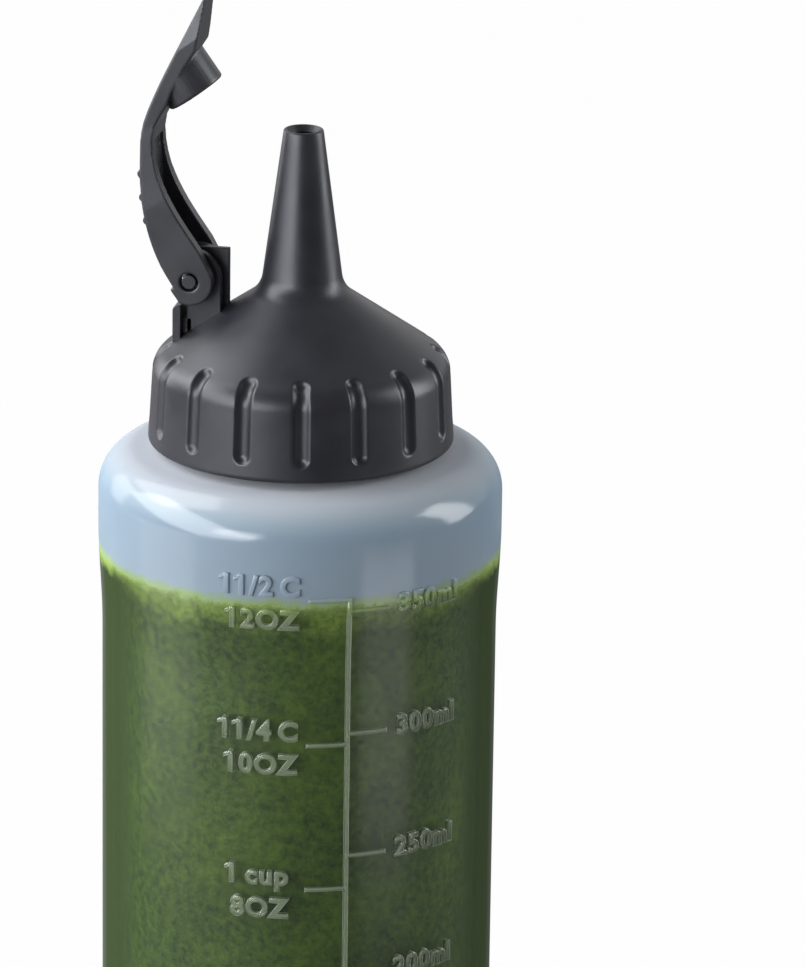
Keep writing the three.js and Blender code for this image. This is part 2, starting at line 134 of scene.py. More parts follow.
GROOVES = 16
GROOVE_COLUMNS = 40
GROOVE_WIDTH = 2.5
GROOVE_DEPTH = 0.75
GROOVE_LOW = 3.6
GROOVE_TOP_RADIUS = 20.2
GROOVE_REACH = 2.5
GROOVE_SOFTNESS = 0.012

# Hinge bracket

HINGE_X = -16.2
HINGE_Z = 179.5
EAR_RADIUS = 4.4
EAR_EDGE = 0.85
EAR_INSIDE = 1.3
EAR_OUTSIDE = 2.6
FIN_HALF = 0.5
POST_HALF = 4
PIN_RADIUS = 1.1
PIN_ROOT = 2.4
PIN_END = 4.9

# Roundness of moulded edges

BRACKET_EDGE = 0.14
LEVER_VOXEL = 0.14

# Heights at which the milky wall changes

AIR_LOW = 138
AIR_HIGH = 156
NECK_SHADE_LOW = 154.3
NECK_SHADE_HIGH = 155.2
FOOT_HAZE_LOW = 1
FOOT_HAZE_HIGH = 4.5

# The photograph's camera, in millimetres, pixels and degrees

SENSOR_WIDTH = 36
IMAGE_HEIGHT = 967
FOCAL_PIXELS = 6700
CAMERA_PITCH = math.radians(17.88)
CAMERA_ROLL = 0.0141
CAMERA_TURN = math.radians(10.35)
CAMERA_PLACE = (15.31, -956.8, 456.7)

# The room's light, as strengths and shares, and the floor, in metres

ROOM_FRONT = 0.26
ROOM_BEHIND = 0.75
LOW_SHARE = 1.15
OVERHEAD_SHARE = 0.7
FLOOR_HALF = 6
FLOOR_GLOW = 0.985


# Outlines of [radius, height] points


def rounded(before, corner, after, radius, steps=10):
    """The arc of that radius which rounds a corner of an outline."""
    corner = Vector(corner)
    a = (Vector(before) - corner).normalized()
    b = (Vector(after) - corner).normalized()
    half = math.acos(max(-1, min(1, a.dot(b)))) / 2
    middle = corner + (a + b).normalized() * radius / math.sin(half)
    start = corner + a * radius / math.tan(half) - middle
    end = corner + b * radius / math.tan(half) - middle
    sweep = math.pi - 2 * half
    turn = math.copysign(1, start.x * end.y - start.y * end.x)
    points = []
    for i in range(steps + 1):
        angle = turn * sweep * i / steps
        x = start.x * math.cos(angle) - start.y * math.sin(angle)
        y = start.x * math.sin(angle) + start.y * math.cos(angle)
        points.append((middle.x + x, middle.y + y))
    return points


def normals(outline):
    """The outward normal at each point, for an outline that runs upwards."""
    found = []
    for i in range(len(outline)):
        a = outline[max(i - 1, 0)]
        b = outline[min(i + 1, len(outline) - 1)]
        found.append(Vector((b[1] - a[1], a[0] - b[0])).normalized())
    return found


def offset(outline, distance):
    """The outline moved outwards along its normals."""
    moved = []
    for (r, z), n in zip(outline, normals(outline)):
        moved.append((max(r + n.x * distance, 0), z + n.y * distance))
    return moved


def refined(outline, step):
    """The outline with extra points, none further apart than step."""
    fine = [outline[0]]
    for a, b in zip(outline, outline[1:]):
        count = max(1, math.ceil(math.dist(a, b) / step))
        for i in range(1, count + 1):
            t = i / count
            fine.append((a[0] + (b[0] - a[0]) * t, a[1] + (b[1] - a[1]) * t))
    return fine


def bottle_outline():
    """The bottle's outside, from the middle of the push-up to the neck's lip."""
    corner = (SHOULDER_RADIUS, SHOULDER_TOP)
    collar = (NECK_RADIUS, COLLAR_TOP)
    waist = []
    for i in range(13):
        blend = (1 - math.cos(math.pi * i / 12)) / 2
        radius = BODY_RADIUS + (SHOULDER_RADIUS - BODY_RADIUS) * blend
        waist.append((radius, WAIST_BOTTOM + (WAIST_TOP - WAIST_BOTTOM) * i / 12))
    return [
        (0, PUSH_UP_HEIGHT),
        (PUSH_UP_RADIUS, PUSH_UP_HEIGHT),
        (FOOT_INNER, 0),
        *rounded((FOOT_INNER, 0), (BODY_RADIUS, 0), (BODY_RADIUS, WAIST_BOTTOM), BASE_ROUNDING),
        *waist,
        *rounded((SHOULDER_RADIUS, WAIST_TOP), corner, collar, SHOULDER_ROUNDING, 16),
        *rounded(corner, collar, (NECK_RADIUS, NECK_TOP), 1, 6),
        (NECK_RADIUS, NECK_TOP),
    ]


def wall_radius(z):
    """The bottle's outer radius at that height, on the body and the shoulder."""
    if z <= WAIST_BOTTOM:
        return BODY_RADIUS
    if z >= WAIST_TOP:
        return SHOULDER_RADIUS
    t = (z - WAIST_BOTTOM) / (WAIST_TOP - WAIST_BOTTOM)
    return BODY_RADIUS + (SHOULDER_RADIUS - BODY_RADIUS) * (1 - math.cos(math.pi * t)) / 2


# Mesh builders


def add_object(name, data):
    thing = bpy.data.objects.new(name, data)
    bpy.context.scene.collection.objects.link(thing)
    return thing


def evaluated_mesh(thing):
    """The object's mesh with its modifiers and curves carried out."""
    bpy.context.view_layer.update()
    depsgraph = bpy.context.evaluated_depsgraph_get()
    return bpy.data.meshes.new_from_object(thing.evaluated_get(depsgraph))


def new_object(name, points, faces, smooth):
    """A mesh object from points in millimetres; smooth is the angle above which an edge is sharp."""
    mesh = bpy.data.meshes.new(name)
    mesh.from_pydata([Vector(p) * MM for p in points], [], faces)
    mesh.validate()
    bm = bmesh.new()
    bm.from_mesh(mesh)
    bmesh.ops.recalc_face_normals(bm, faces=bm.faces)
    bm.to_mesh(mesh)
    bm.free()
    mesh.shade_smooth()
    mesh.set_sharp_from_angle(angle=math.radians(smooth))
    return add_object(name, mesh)


def lathe_data(outline, columns, shift=None, closed=False):
    """Points and faces of an outline turned about Z.

    shift(i, angle) says how far a point moves along the outline's normal.
    """
    points, faces, rows = [], [], []
    sides = normals(outline)
    for i, (r, z) in enumerate(outline):
        if r < 1e-6:
            rows.append([len(points)] * columns)
            points.append((0, 0, z))
            continue
        row = []
        for j in range(columns):
            angle = 2 * math.pi * j / columns
            move = shift(i, angle) if shift else 0
            radius = r + sides[i].x * move
            height = z + sides[i].y * move
            row.append(len(points))
            points.append((radius * math.cos(angle), radius * math.sin(angle), height))
        rows.append(row)
    pairs = list(zip(rows, rows[1:]))
    if closed:
        pairs.append((rows[-1], rows[0]))
    for low, high in pairs:
        for j in range(columns):
            k = (j + 1) % columns
            face = [low[j], low[k], high[k], high[j]]
            face = [v for n, v in enumerate(face) if v not in face[:n]]
            if len(face) > 2:
                faces.append(face)
    return points, faces


def merged(*meshes):
    """Several meshes' points and faces as one."""
    points, faces = [], []
    for more_points, more_faces in meshes:
        start = len(points)
        points += more_points
        faces += [[v + start for v in face] for face in more_faces]
    return points, faces


def thread_data(radius, depth, start, turns, phase):
    """A helical ridge that fades out over its first and last eighth.

    A negative depth makes it stand inwards.
    """
    steps = round(THREAD_STEPS * turns)
    points, faces = [], []
    for i in range(steps + 1):
        along = i / steps
        angle = phase + 2 * math.pi * turns * along
        height = start + THREAD_PITCH * turns * along
        fade = min(1, along * 8, (1 - along) * 8)
        crest = radius + depth * max(fade, 0.15)
        foot = radius - math.copysign(THREAD_ROOT, depth)
        half = THREAD_CREST * max(fade, 0.4) / 2
        wide = THREAD_FOOT / 2
        for r, z in ((foot, -wide), (crest, -half), (crest, half), (foot, wide)):
            points.append((r * math.cos(angle), r * math.sin(angle), height + z))
    for i in range(steps):
        for j in range(4):
            a, b = 4 * i + j, 4 * i + (j + 1) % 4
            faces.append([a, b, b + 4, a + 4])
    faces += [[3, 2, 1, 0], [4 * steps + j for j in range(4)]]
    return points, faces


def on_wall(across, z, stand):
    """A point at an arc length across from the scale line, at height z, that far off the wall."""
    radius = wall_radius(z)
    angle = SCALE_AZIMUTH + across / radius
    reach = radius + stand
    return (reach * math.cos(angle), reach * math.sin(angle), z)


def edged(low, high, step):
    """Places from low to high, at most a step apart, with one more beside each end for its edge."""
    count = max(2, math.ceil((high - low) / step))
    places = [low + (high - low) * i / count for i in range(count + 1)]
    return [places[0], places[0] + MARK_EDGE, *places[1:-1], places[-1] - MARK_EDGE, places[-1]]


def strip_data(low_across, high_across, low_z, high_z):
    """A raised, round-edged bar on the wall."""
    across = edged(low_across, high_across, 0.4)
    heights = edged(low_z, high_z, 3)
    wide, tall = len(across), len(heights)
    points, faces = [], []
    for layer in (0, 1):
        for i, z in enumerate(heights):
            for j, x in enumerate(across):
                rim = i in (0, tall - 1) or j in (0, wide - 1)
                raised = MARK_SIDE if rim else MARK_HEIGHT
                points.append(on_wall(x, z, raised if layer else -MARK_ROOT))
    top = wide * tall
    for i in range(tall - 1):
        for j in range(wide - 1):
            a = i * wide + j
            faces.append([a, a + wide, a + wide + 1, a + 1])
            faces.append([top + a, top + a + 1, top + a + wide + 1, top + a + wide])
    border = list(range(wide))
    border += [i * wide + wide - 1 for i in range(1, tall)]
    border += [(tall - 1) * wide + j for j in range(wide - 2, -1, -1)]
    border += [i * wide for i in range(tall - 2, 0, -1)]
    for a, b in zip(border, border[1:] + border[:1]):
        faces.append([a, b, top + b, top + a])
    return points, faces


# Bottle


def mark_height(millilitres):
    """The height of the scale's mark for a volume."""
    return SCALE_TOP + (millilitres - 350) * STEP_HEIGHT / 50


def build_bottle():
    """The bottle's wall, outside and inside, with the thread on its neck."""
    outer = bottle_outline()
    inner = offset(outer, -WALL)
    inner[0] = (0, inner[0][1])
    inner[-1] = (inner[-1][0], NECK_TOP)
    walls = lathe_data(outer + inner[::-1], columns=192)
    thread = thread_data(NECK_RADIUS, THREAD_DEPTH, THREAD_START, THREAD_TURNS, 0)
    bottle = new_object("bottle_wall", *merged(walls, thread), smooth=50)
    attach(bottle, "bottle")
    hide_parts("bottle")
    return bottle


def build_scale():
    """The upright line, with a tick for each 50 ml on its right and each 2 ounces on its left."""
    half = MARK_WIDTH / 2
    low = mark_height(50) - LINE_BELOW_50
    bars = [strip_data(-half, half, low, mark_height(12 * OUNCE) + half)]
    for step in range(1, 8):
        z = mark_height(50 * step)
        bars.append(strip_data(0, TICK_LENGTH, z - half, z + half))
    for ounces in range(2, 13, 2):
        z = mark_height(ounces * OUNCE)
        bars.append(strip_data(-TICK_LENGTH, 0, z - half, z + half))
    scale = new_object("scale_marks", *merged(*bars), smooth=60)
    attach(scale, "bottle")
    return scale


def figure_starts(mesh):
    """Where each figure of a flat word starts, from the left."""
    spans = []
    for face in mesh.polygons:
        xs = [mesh.vertices[v].co.x for v in face.vertices]
        spans.append((min(xs), max(xs)))
    starts = []
    reach = -math.inf
    for low, high in sorted(spans):
        if low > reach + FIGURE_GAP:
            starts.append(low)
        reach = max(reach, high)
    return starts


def add_flags(mesh, count):
    """Give each of a flat word's first figures, which are 1, its small flag at the top.

    build_words turns its faces outwards with the rest.
    """
    top = max(v.co.y for v in mesh.vertices)
    middle_x, middle_y = FLAG_MIDDLE
    bm = bmesh.new()
    bm.from_mesh(mesh)
    for start in figure_starts(mesh)[:count]:
        rings = []
        for depth, size in FLAG_LAYERS:
            ring = []
            for x, y in FLAG:
                along = start + middle_x + (x - middle_x) * size
                up = top + middle_y + (y - middle_y) * size
                ring.append(bm.verts.new((along, up, depth)))
            rings.append(ring)
        for low, high in zip(rings, rings[1:]):
            for j in range(len(FLAG)):
                k = (j + 1) % len(FLAG)
                bm.faces.new((low[k], low[j], high[j], high[k]))
        bm.faces.new(rings[0])
        bm.faces.new(rings[-1][::-1])
    bm.to_mesh(mesh)
    bm.free()


def build_label(words, across, z, align):
    """Raised words on the wall, with their base line at height z.

    across is how far from the scale line they start, or where their centre is.
    """
    curve = bpy.data.curves.new("scale_words", "FONT")
    curve.body = words
    curve.size = WORD_SIZE
    curve.align_x = align
    curve.offset = 0.075
    curve.extrude = WORD_EXTRUDE
    curve.bevel_depth = WORD_BEVEL
    curve.bevel_resolution = 1
    curve.space_character = 1.12
    curve.space_word = 0.5
    curve.resolution_u = 4
    drawn = add_object("scale_words", curve)
    mesh = evaluated_mesh(drawn)
    bpy.data.objects.remove(drawn)
    add_flags(mesh, len(words) - len(words.lstrip("1")))
    for vertex in mesh.vertices:
        x, y, depth = vertex.co
        stand = depth - WORD_SINK + MARK_HEIGHT
        vertex.co = Vector(on_wall(across + x, z + y, stand)) * MM
    return mesh


def build_words():
    """Millilitres right of the line, and cups over ounces left of it."""
    names = {1: "1/4 C", 2: "1/2 C", 3: "3/4 C", 4: "1 cup", 5: "11/4 C", 6: "11/2 C"}
    meshes = []
    for step in range(1, 8):
        z = mark_height(50 * step) + MILLILITRES_RISE
        meshes.append(build_label(f"{50 * step}ml", MILLILITRES_ACROSS, z, "LEFT"))
    for step, cups in names.items():
        z = mark_height(2 * step * OUNCE)
        meshes.append(build_label(cups, CUPS_ACROSS, z + CUPS_RISE, "CENTER"))
        meshes.append(build_label(f"{2 * step}OZ", OUNCES_ACROSS, z + OUNCES_RISE, "CENTER"))
    bm = bmesh.new()
    for mesh in meshes:
        bm.from_mesh(mesh)
        bpy.data.meshes.remove(mesh)
    bmesh.ops.remove_doubles(bm, verts=bm.verts, dist=2e-6)
    bmesh.ops.recalc_face_normals(bm, faces=bm.faces)
    joined = bpy.data.meshes.new("scale_words")
    bm.to_mesh(joined)
    bm.free()
    joined.shade_smooth()
    joined.set_sharp_from_angle(angle=math.radians(50))
    words = add_object("scale_words", joined)
    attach(words, "bottle")
    return words


def build_sauce():
    """The fill, just inside the wall, with an edge that clings to it above the level."""
    inner = offset(bottle_outline(), -WALL)
    inner[0] = (0, inner[0][1])
    side = [p for p in offset(inner, -SAUCE_GAP) if p[1] < SAUCE_LEVEL + SAUCE_SIDE_TOP]
    radius = side[-1][0]
    edge = [(radius - inwards, SAUCE_LEVEL + rise) for inwards, rise in SAUCE_EDGE]
    outline = [*side, *edge, (0, SAUCE_LEVEL + SAUCE_MIDDLE)]
    fill = lathe_data(refined(outline, 4), columns=160)
    sauce = new_object("sauce_fill", *fill, smooth=50)
    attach(sauce, "bottle")
    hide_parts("sauce")
    return sauce


# Screw cap


def cone_height(r):
    """The height of the cone's outside at a radius."""
    slope = (NOZZLE_FOOT[1] - CAP_EDGE[1]) / (CAP_EDGE[0] - NOZZLE_FOOT[0])
    return NOZZLE_FOOT[1] - (r - NOZZLE_FOOT[0]) * slope


def cone_underside(r):
    """The height of the cone's inside at a radius."""
    angle = math.atan2(NOZZLE_FOOT[1] - CAP_EDGE[1], CAP_EDGE[0] - NOZZLE_FOOT[0])
    return cone_height(r) - CAP_WALL / math.cos(angle)


def cap_surface():
    """The cap's outside in two parts: from the lower edge over the grooves, and on to the tip's bevel."""
    inner = GROOVE_TOP_RADIUS - GROOVE_REACH
    lip = (CAP_BOTTOM_RADIUS, CAP_BOTTOM)
    rim = (NOZZLE_TIP_RADIUS, NOZZLE_TIP)
    grooved = [
        *rounded((CAP_BORE, CAP_BOTTOM), lip, CAP_EDGE, CAP_LIP_ROUNDING, 5),
        *rounded(lip, CAP_EDGE, NOZZLE_FOOT, CAP_EDGE_ROUNDING, 20),
        (inner, cone_height(inner)),
    ]
    plain = [
        *rounded(CAP_EDGE, NOZZLE_FOOT, rim, NOZZLE_FOOT_ROUNDING, 14),
        *rounded(NOZZLE_FOOT, rim, (0, NOZZLE_TIP), NOZZLE_TIP_ROUNDING, 5),
        (BEVEL_RADIUS + BEVEL_EDGE, NOZZLE_TIP),
        (BEVEL_RADIUS, NOZZLE_TIP - BEVEL_EDGE),
    ]
    return refined(grooved, 0.22), refined(plain, 2.2)


def groove_shift(outline):
    """How far each point of the cap's outside sinks into a finger groove, cut as by a ball."""
    ball = (GROOVE_WIDTH**2 / 4 + GROOVE_DEPTH**2) / (2 * GROOVE_DEPTH)
    lengths = [0]
    for a, b in zip(outline, outline[1:]):
        lengths.append(lengths[-1] + math.dist(a, b))
    low = min(s for s, (r, z) in zip(lengths, outline) if z > CAP_BOTTOM + GROOVE_LOW)
    high = max(s for s, (r, z) in zip(lengths, outline) if r > GROOVE_TOP_RADIUS)
    pitch = 2 * math.pi / GROOVES

    def shift(i, angle):
        if i >= len(outline):
            return 0
        turn = (angle / pitch) % 1 - 0.5
        sideways = turn * pitch * outline[i][0]
        beyond = max(0, low - lengths[i], lengths[i] - high)
        away = sideways**2 + beyond**2
        if away > ball**2:
            return 0
        depth = math.sqrt(ball**2 - away) - (ball - GROOVE_DEPTH)
        if depth <= -0.3:
            return 0
        return -(depth + math.sqrt(depth**2 + GROOVE_SOFTNESS)) / 2

    return shift


def build_cap():
    """The cap's shell, grooved outside, with its bore and the thread inside it."""
    grooved, plain = cap_surface()
    bore_foot = NOZZLE_FOOT[0] - NOZZLE_WALL
    hollow = [
        (HOLE_RADIUS, NOZZLE_TIP - BEVEL_DEPTH),
        (bore_foot, cone_underside(bore_foot)),
        (LEDGE_INNER, cone_underside(LEDGE_INNER)),
        (LEDGE_INNER, CAP_LEDGE),
        (CAP_BORE, CAP_LEDGE),
        (CAP_BORE, CAP_BOTTOM),
    ]
    outline = grooved + plain + hollow
    columns = GROOVE_COLUMNS * GROOVES
    shell = lathe_data(outline, columns, groove_shift(grooved), closed=True)
    thread = thread_data(
        CAP_BORE, -THREAD_DEPTH, CAP_THREAD_START, CAP_THREAD_TURNS, CAP_THREAD_PHASE
    )
    cap = new_object("cap_shell", *merged(shell, thread), smooth=45)
    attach(cap, "cap")
    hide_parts("screw_cap")
    return cap


# Hinge bracket


def plate_data(outline, low_y, high_y):
    """A flat plate with an outline in X-Z, measured from the hinge."""
    points = [(HINGE_X + x, low_y, HINGE_Z + z) for x, z in outline]
    points += [(HINGE_X + x, high_y, HINGE_Z + z) for x, z in outline]
    count = len(outline)
    faces = [list(range(count)), list(range(2 * count - 1, count - 1, -1))]
    for j in range(count):
        k = (j + 1) % count
        faces.append([j, j + count, k + count, k])
    return points, faces


def arc(radius, start, end, steps, centre=(0, 0)):
    """Points along an arc from a start to an end angle, in degrees."""
    turned = []
    for i in range(steps + 1):
        angle = math.radians(start + (end - start) * i / steps)
        turned.append((centre[0] + radius * math.cos(angle), centre[1] + radius * math.sin(angle)))
    return turned


def build_bracket():
    """Two ears with a pin on each, the fin between them, and the stop post behind."""
    ear_end = math.degrees(math.pi - math.acos(EAR_EDGE / EAR_RADIUS))
    ear = [(-EAR_EDGE, -9.4), (EAR_RADIUS, -6.2), *arc(EAR_RADIUS, 0, ear_end, 18)]
    fin = [(0.6, -8.3), (5.2, -5.4), (5.2, 4.4), (0.6, 4.4)]
    post = [(-2.7, -10.2), (-1.4, -9.3), (-1.4, -3.95), *arc(0.8, 90, 180, 6, (-1.9, -4.75))]
    bridge = [(-2, -9.8), (0, -8.8), (0, -6.15), (-2, -6.15)]
    pin = arc(PIN_RADIUS, 0, 345, 23)
    plates = merged(
        plate_data(ear, EAR_INSIDE, EAR_OUTSIDE),
        plate_data(ear, -EAR_OUTSIDE, -EAR_INSIDE),
        plate_data(fin, -FIN_HALF, FIN_HALF),
        plate_data(post, -POST_HALF, POST_HALF),
        plate_data(bridge, -EAR_OUTSIDE, EAR_OUTSIDE),
        plate_data(pin, PIN_ROOT, PIN_END),
        plate_data(pin, -PIN_END, -PIN_ROOT),
    )
    bracket = new_object("hinge_bracket", *plates, smooth=35)
    soften(bracket, BRACKET_EDGE)
    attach(bracket, "cap")
    return bracket


def soften(thing, width):
    """Small rounded edges, as moulded plastic has."""
    bevel = thing.modifiers.new("edges", "BEVEL")
    bevel.width = width * MM
    bevel.segments = 2
    bevel.limit_method = "ANGLE"
    bevel.angle_limit = math.radians(40)
    bevel.harden_normals = False


def build_lever():
    """A copy of the solid lever whose edges a fine remesh and a little smoothing round."""
    mesh = nodes["closing_lever"].data.copy()
    mesh.name = "lever_arm"
    lever = add_object("lever_arm", mesh)
    remesh = lever.modifiers.new("even", "REMESH")
    remesh.mode = "VOXEL"
    remesh.voxel_size = LEVER_VOXEL * MM
    relax = lever.modifiers.new("round", "SMOOTH")
    relax.factor = 0.5
    relax.iterations = 4
    made = evaluated_mesh(lever)
    lever.modifiers.clear()
    lever.data = made
    made.shade_smooth()
    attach(lever, "lever")
    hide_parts("closing_lever")
    return lever


# Materials


class Shader:
    """A node tree, with short calls to add and join its nodes."""

    def __init__(self, owner, output="ShaderNodeOutputMaterial"):
        owner.use_nodes = True
        self.owner = owner
        self.tree = owner.node_tree
        self.tree.nodes.clear()
        self.output = self.add(output)

    def add(self, kind, **settings):
        node = self.tree.nodes.new(kind)
        for key, value in settings.items():
            setattr(node, key, value)
        return node

    def put(self, value, socket):
        """Link another socket to this one, or set this one to a number or colour."""
        if isinstance(value, bpy.types.NodeSocket):
            self.tree.links.new(value, socket)
        else:
            socket.default_value = value

    def fill(self, node, **values):
        """Put each value into the socket of its name, with underscores for spaces."""
        for key, value in values.items():
            self.put(value, node.inputs[key.replace("_", " ")])

    def made(self, surface):
        """The finished material or world, with that surface."""
        self.put(surface, self.output.inputs["Surface"])
        return self.owner

    def place(self):
        return self.add("ShaderNodeTexCoord").outputs["Object"]

    def part_of(self, place, axis):
        split = self.add("ShaderNodeSeparateXYZ")
        self.fill(split, Vector=place)
        return split.outputs[axis]

    def noise(self, place, scale, detail=4, roughness=0.5):
        node = self.add("ShaderNodeTexNoise")
        self.fill(node, Vector=place, Scale=scale, Detail=detail, Roughness=roughness)
        return node.outputs["Fac"]

    def ramp(self, value, stops):
        """A colour for each value, between stops of (value, colour)."""
        node = self.add("ShaderNodeValToRGB")
        elements = node.color_ramp.elements
        for element, (position, colour) in zip(elements, (stops[0], stops[-1])):
            element.position = position
            element.color = (*colour, 1)
        for position, colour in stops[1:-1]:
            elements.new(position).color = (*colour, 1)
        self.fill(node, Fac=value)
        return node.outputs["Color"]

    def spread(self, value, low, high, to_low, to_high):
        """The value's run from low to high, changed to run from to_low to to_high."""
        node = self.add("ShaderNodeMapRange")
        self.fill(node, Value=value, From_Min=low, From_Max=high, To_Min=to_low, To_Max=to_high)
        return node.outputs["Result"]

    def math(self, operation, first, second):
        node = self.add("ShaderNodeMath", operation=operation)
        self.put(first, node.inputs[0])
        self.put(second, node.inputs[1])
        return node.outputs["Value"]

    def mix(self, share, first, second, kind="RGBA"):
        """Two colours or numbers mixed, all of the second where the share is 1."""
        node = self.add("ShaderNodeMix", data_type=kind)
        self.fill(node, Factor=share, A=first, B=second)
        return node.outputs["Result"]

    def bump(self, height, distance, strength, **under):
        node = self.add("ShaderNodeBump")
        self.fill(node, Height=height, Distance=distance, Strength=strength, **under)
        return node.outputs["Normal"]

    def principled(self, **values):
        node = self.add("ShaderNodeBsdfPrincipled")
        self.fill(node, **values)
        return node.outputs["BSDF"]

    def layer(self, share, under, over):
        """Two surfaces mixed, only the upper one where the share is 1."""
        node = self.add("ShaderNodeMixShader")
        self.put(share, node.inputs["Fac"])
        self.put(under, node.inputs[1])
        self.put(over, node.inputs[2])
        return node.outputs["Shader"]


def black_plastic(name, dark, light):
    """Satin black moulded plastic with a fine eroded grain."""
    s = Shader(bpy.data.materials.new(name))
    where = s.place()
    cloud = s.noise(where, 180, 3)
    grain = s.noise(where, 5200, 2)
    return s.made(s.principled(
        Base_Color=s.ramp(cloud, [(0.35, dark), (0.65, light)]),
        Roughness=s.spread(cloud, 0.3, 0.7, 0.34, 0.42),
        IOR=1.5,
        Specular_Tint=(0.90, 0.93, 1.0, 1),
        Normal=s.bump(grain, 0.03 * MM, 0.5),
    ))


def milky(name, haze, haze_share, rim, shine):
    """Milky plastic, hazy over the air and clear where the sauce wets it.

    haze and haze_share are its colour and cover face on, rim its colour towards its edges
    (on the raised marks, a painted highlight), and shine its gloss there.
    """
    s = Shader(bpy.data.materials.new(name))
    where = s.place()
    height = s.part_of(where, "Z")
    facing = s.add("ShaderNodeLayerWeight")
    s.fill(facing, Blend=0.5)
    turn = facing.outputs["Facing"]

    # The sauce's ragged level, and just below it a bright band on the wall: the froth that clings there,
    # with a painted highlight that covers the shade at the sauce's edge
    wobble = s.spread(s.noise(where, 420, 4, 0.6), 0.2, 0.8, -0.8 * MM, 0.8 * MM)
    ragged = s.math("ADD", height, wobble)
    wet = s.spread(ragged, (SAUCE_LEVEL - 0.6) * MM, (SAUCE_LEVEL + 1.1) * MM, 1, 0)
    froth_and_highlight = s.spread(ragged, (SAUCE_LEVEL - 2.4) * MM, (SAUCE_LEVEL - 0.3) * MM, 0, 1)

    # Colour over the air, paler up the shoulder, with a painted shade on the neck under the cap
    up = s.spread(height, AIR_LOW * MM, AIR_HIGH * MM, 0, 1)
    air = s.ramp(up, [
        (0.0, (0.22, 0.28, 0.34)),
        (0.62, (0.21, 0.28, 0.35)),
        (0.70, (0.25, 0.32, 0.38)),
        (0.88, (0.40, 0.43, 0.48)),
        (0.98, (0.88, 0.86, 0.87)),
    ])
    # Painted shade: the neck's colour is darkened here
    neck = s.spread(height, NECK_SHADE_LOW * MM, NECK_SHADE_HIGH * MM, 0, 1)
    dry = s.mix(neck, air, (0.42, 0.45, 0.49, 1))

    # Colour over the sauce, by how far the wall turns away
    body = s.ramp(turn, [
        (0.0, haze),
        (0.55, (0.026, 0.046, 0.012)),
        (0.80, rim),
        (1.0, (0.10, 0.11, 0.10)),
    ])
    # The band below the level is painted bright green, partly froth and partly painted highlight
    soaked = s.mix(froth_and_highlight, body, (0.24, 0.35, 0.09, 1))

    waves = s.bump(s.noise(where, 90, 3), 0.4 * MM, 0.15)
    normal = s.bump(s.noise(where, 1300, 2), 0.04 * MM, 0.3, Normal=waves)
    plastic = s.principled(
        Base_Color=s.mix(wet, dry, soaked),
        Roughness=0.14,
        IOR=1.5,
        Specular_IOR_Level=s.spread(turn, 0.25, 0.62, 0.5, shine),
        Normal=normal,
    )

    # How much the plastic covers: nearly all over the air, and over the sauce at the froth and its
    # painted highlight, at the foot and where the wall turns away
    foot = s.spread(height, FOOT_HAZE_LOW * MM, FOOT_HAZE_HIGH * MM, 0.9, 0)
    film = s.math("MAXIMUM", s.math("MULTIPLY", froth_and_highlight, 0.7), foot)
    over_sauce = s.math("MAXIMUM", s.spread(turn, 0.50, 0.70, haze_share, 1), film)
    cover = s.mix(wet, 0.86, over_sauce, "FLOAT")
    clear = s.add("ShaderNodeBsdfTransparent").outputs["BSDF"]
    wall = s.layer(cover, clear, plastic)

    # A thin gloss on the outside of the wet wall
    sheen = s.add("ShaderNodeBsdfGlossy")
    s.fill(sheen, Roughness=0.26, Normal=normal)
    gloss = s.add("ShaderNodeFresnel")
    s.fill(gloss, IOR=1.45)
    thin = s.math("MINIMUM", gloss.outputs["Fac"], 0.05)
    outside = s.math("SUBTRACT", 1, s.add("ShaderNodeNewGeometry").outputs["Backfacing"])
    coating = s.math("MULTIPLY", thin, s.math("MULTIPLY", outside, wet))
    return s.made(s.layer(coating, wall, sheen.outputs["BSDF"]))


def bottle_plastic():
    """The bottle's wall, see-through face on and dark green towards its edges."""
    return milky(
        "bottle_plastic",
        haze=(0.03, 0.06, 0.02),
        haze_share=0.06,
        rim=(0.028, 0.044, 0.016),
        shine=0,
    )


def raised_plastic():
    """The scale's raised plastic, painted paler than the wall, with a painted highlight on its rounded
    sides.
    """
    return milky(
        "raised_plastic",
        # Painted light: a paler face on, and near white towards the edges as a painted highlight
        haze=(0.28, 0.35, 0.23),
        haze_share=0.38,
        rim=(0.90, 0.95, 0.85),
        shine=0.9,
    )


def green_sauce():
    """Blended herb sauce: bright at the top edge, darker below, with fine flecks and streaks."""
    s = Shader(bpy.data.materials.new("sauce"))
    where = s.place()
    clouds = s.noise(where, 60, 5, 0.6)
    flecks = s.noise(where, 850, 6, 0.66)
    body = s.ramp(clouds, [
        (0.34, (0.008, 0.027, 0.003)),
        (0.50, (0.018, 0.049, 0.004)),
        (0.66, (0.056, 0.108, 0.008)),
    ])
    fine = s.ramp(flecks, [(0.36, (0.005, 0.018, 0.002)), (0.66, (0.098, 0.168, 0.016))])
    bright = s.ramp(flecks, [(0.35, (0.10, 0.19, 0.018)), (0.65, (0.30, 0.42, 0.07))])
    wobble = s.spread(clouds, 0.3, 0.7, -1.6 * MM, 1.6 * MM)
    ragged = s.math("ADD", s.part_of(where, "Z"), wobble)
    top = s.spread(ragged, (SAUCE_LEVEL - 6) * MM, (SAUCE_LEVEL - 0.3) * MM, 0, 1)
    return s.made(s.principled(
        Base_Color=s.mix(top, s.mix(0.45, body, fine), bright),
        Roughness=0.5,
        IOR=1.33,
        Normal=s.bump(flecks, 0.3 * MM, 0.5),
    ))


def seal_rubber():
    """Grey rubber with a faint mottle."""
    s = Shader(bpy.data.materials.new("seal_rubber"))
    cloud = s.noise(s.place(), 700, 3)
    colour = s.ramp(cloud, [(0.3, (0.42, 0.43, 0.44)), (0.7, (0.50, 0.51, 0.52))])
    return s.made(s.principled(Base_Color=colour, Roughness=0.75))


def give(thing, material):
    thing.data.materials.clear()
    thing.data.materials.append(material)


# Studio


